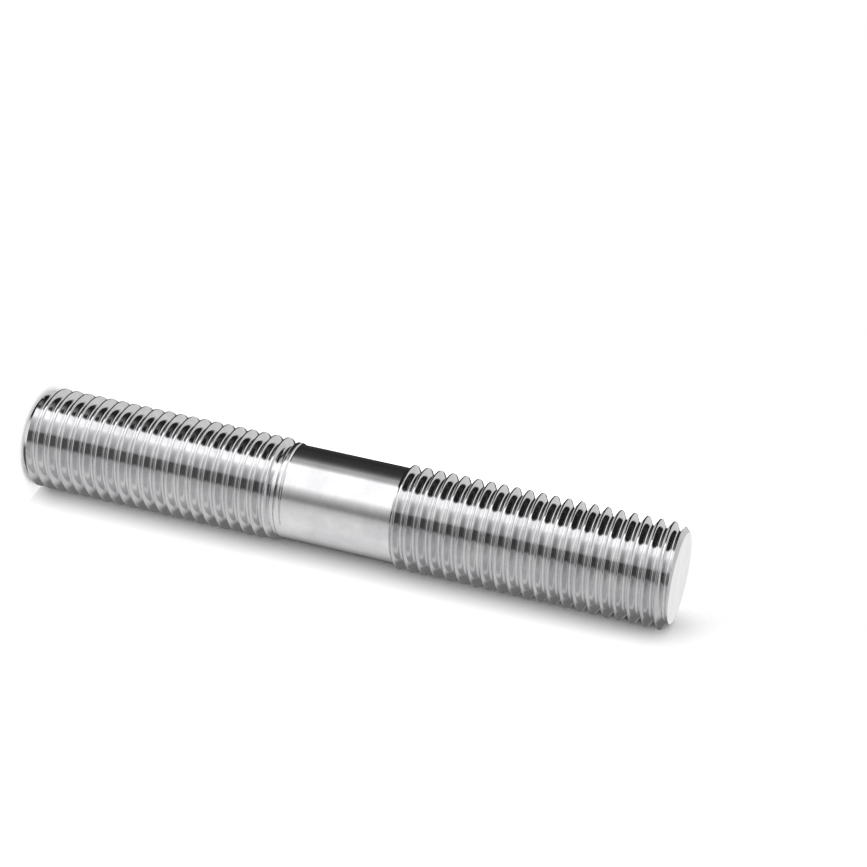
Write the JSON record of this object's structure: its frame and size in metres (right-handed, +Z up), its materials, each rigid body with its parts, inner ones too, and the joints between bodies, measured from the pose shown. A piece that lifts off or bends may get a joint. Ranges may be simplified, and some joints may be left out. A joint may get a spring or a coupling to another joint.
{
  "type": "double ended stud",
  "caption": "Steel double ended stud: a right-hand threaded length at each end with a chamfered tip, and a slimmer plain shank between them.",
  "frame": {"origin": "middle of the lower end face, on the ground", "axes": "+Z up along the stud's axis, standing on its lower end"},
  "size_m": [0.0158, 0.0158, 0.103],
  "materials": {
    "steel": "bright rolled"
  },
  "bodies": {
    "root": {"stud": "steel"}
  },
  "joints": []
}
